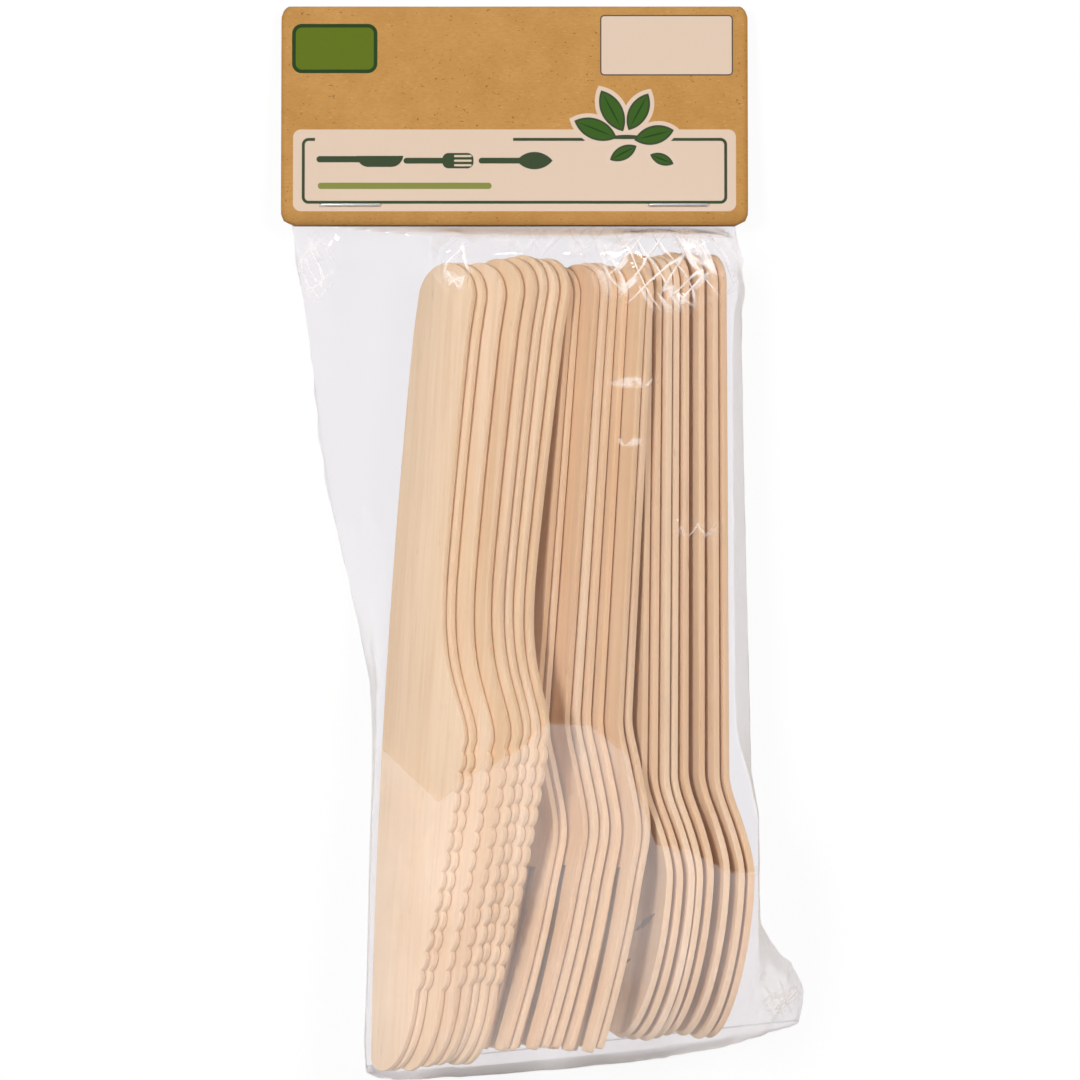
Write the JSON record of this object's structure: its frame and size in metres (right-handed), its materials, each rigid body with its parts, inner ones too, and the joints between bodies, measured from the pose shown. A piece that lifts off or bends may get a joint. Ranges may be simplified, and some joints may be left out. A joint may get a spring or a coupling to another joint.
{
  "type": "wooden cutlery set",
  "caption": "Pack of disposable wooden knives, forks and spoons laid in a row in a clear film bag under a folded, stapled card header.",
  "frame": {"origin": "centre of the base, under the middle of the pack lying on its back", "axes": "+Y along the pack towards the header card, +X to the right seen from the front, +Z out of the front of the pack"},
  "size_m": [0.1062, 0.2192, 0.0317],
  "materials": {
    "birch_knife": "bare birch veneer",
    "birch_fork": "bare birch veneer",
    "birch_spoon": "bare birch veneer",
    "clear_film": "clear gloss film",
    "kraft_card": "uncoated kraft card",
    "staple_wire": "bright wire"
  },
  "bodies": {
    "root": {"knife_1": "birch_knife", "knife_2": "birch_knife", "knife_3": "birch_knife", "knife_4": "birch_knife", "knife_5": "birch_knife", "knife_6": "birch_knife", "knife_7": "birch_knife", "knife_8": "birch_knife", "fork_1": "birch_fork", "fork_2": "birch_fork", "fork_3": "birch_fork", "fork_4": "birch_fork", "fork_5": "birch_fork", "fork_6": "birch_fork", "fork_7": "birch_fork", "fork_8": "birch_fork", "spoon_1": "birch_spoon", "spoon_2": "birch_spoon", "spoon_3": "birch_spoon", "spoon_4": "birch_spoon", "spoon_5": "birch_spoon", "spoon_6": "birch_spoon", "spoon_7": "birch_spoon", "spoon_8": "birch_spoon", "film_bag": "clear_film", "header_card": "kraft_card", "staple_left": "staple_wire", "staple_right": "staple_wire"}
  },
  "joints": []
}
